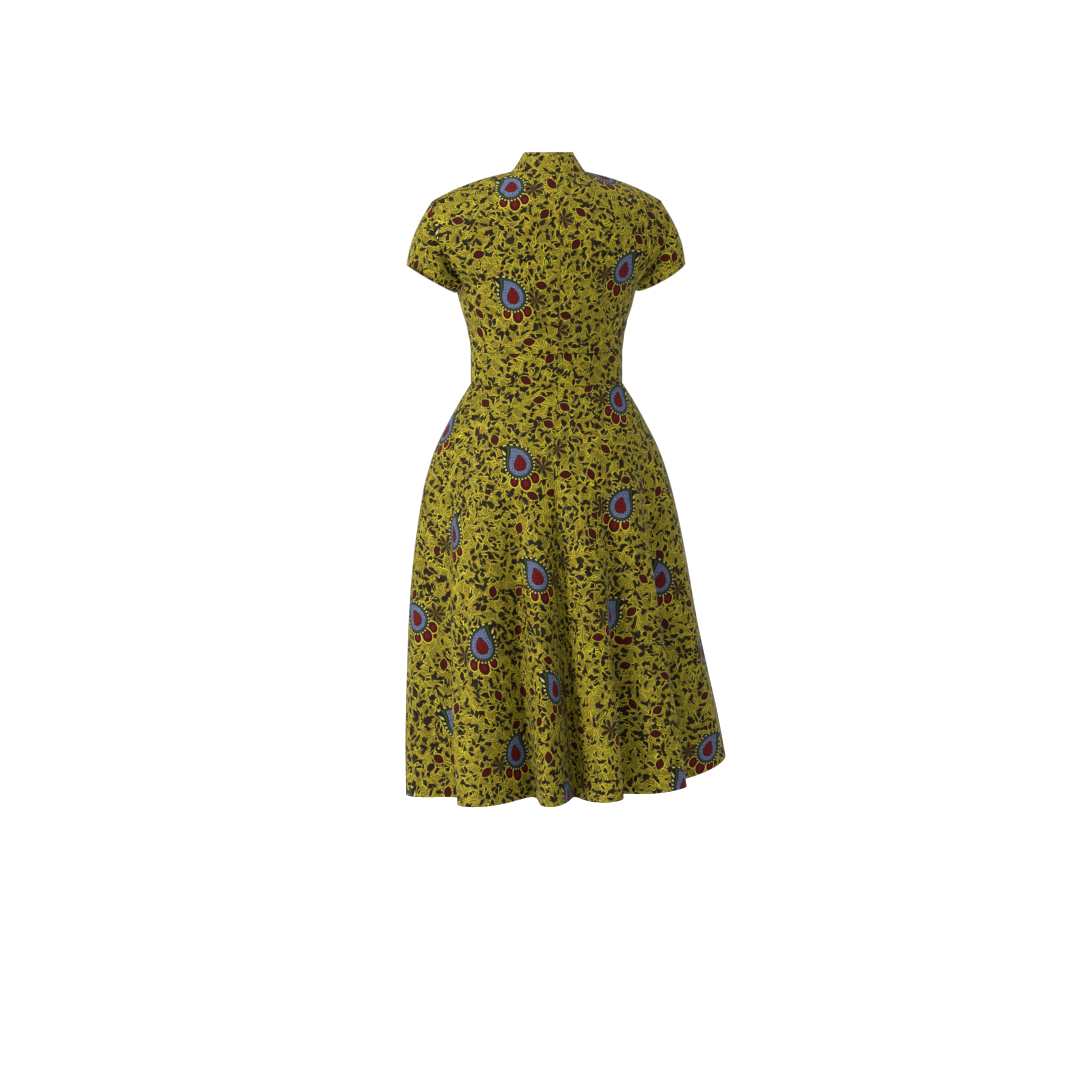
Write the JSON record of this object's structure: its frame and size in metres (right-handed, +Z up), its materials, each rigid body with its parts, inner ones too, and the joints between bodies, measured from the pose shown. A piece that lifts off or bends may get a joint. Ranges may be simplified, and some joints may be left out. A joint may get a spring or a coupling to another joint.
{
  "type": "ankara wax print dress",
  "caption": "Fitted dress in leaf-patterned wax print cotton with a stand collar, short set-in sleeves, an inset waistband and a flared midi skirt in deep flutes, shown as worn.",
  "frame": {"origin": "middle of the neck hole, at the height of the highest shoulder point, where the wearer's neck and shoulders hold the dress up", "axes": "+Z up, the front faces -Y, the wearer's left is +X"},
  "size_m": [0.5656, 0.4133, 1.1068],
  "materials": {
    "wax_print": "matte printed cotton, leaf cells in olive yellow on near black"
  },
  "bodies": {
    "root": {"collar": "wax_print", "bodice_back_left": "wax_print", "bodice_back_right": "wax_print", "bodice_front": "wax_print", "sleeve_left": "wax_print", "sleeve_right": "wax_print", "waistband_back_left": "wax_print", "waistband_back_right": "wax_print", "waistband_front": "wax_print", "skirt_back_left": "wax_print", "skirt_back_right": "wax_print", "skirt_front": "wax_print"}
  },
  "joints": []
}
